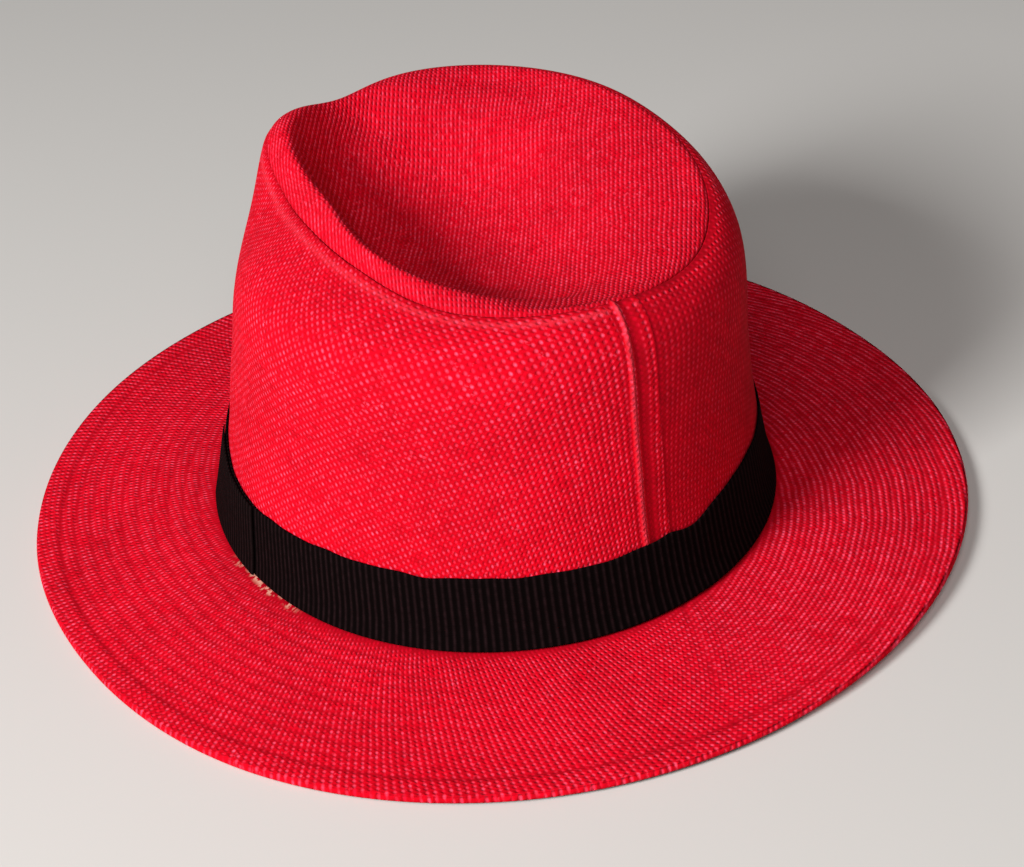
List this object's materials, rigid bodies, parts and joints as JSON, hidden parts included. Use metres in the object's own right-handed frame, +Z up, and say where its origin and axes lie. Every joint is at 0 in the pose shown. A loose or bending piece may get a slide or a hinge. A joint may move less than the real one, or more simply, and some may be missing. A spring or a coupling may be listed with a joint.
{
  "type": "fedora hat",
  "caption": "Red woven cloth fedora with a long dent in the crown, a wide hemmed brim and a black ribbed ribbon.",
  "frame": {"origin": "on the surface that the hat stands on, under the middle of the brim", "axes": "+Z up, the front of the hat faces -Y, the wearer's left is +X"},
  "size_m": [0.301, 0.3238, 0.126],
  "materials": {
    "crown_cloth": "matt woven cloth, red",
    "tip_cloth": "matt woven cloth, red",
    "brim_cloth": "matt woven cloth, red, sewn in rows",
    "ribbon": "ribbed black ribbon",
    "lap_ribbon": "ribbed black ribbon, lapped end"
  },
  "bodies": {
    "root": {"crown_side": "crown_cloth", "crown_tip": "tip_cloth", "brim": "brim_cloth", "hat_band": "ribbon", "band_lap": "lap_ribbon"}
  },
  "joints": []
}
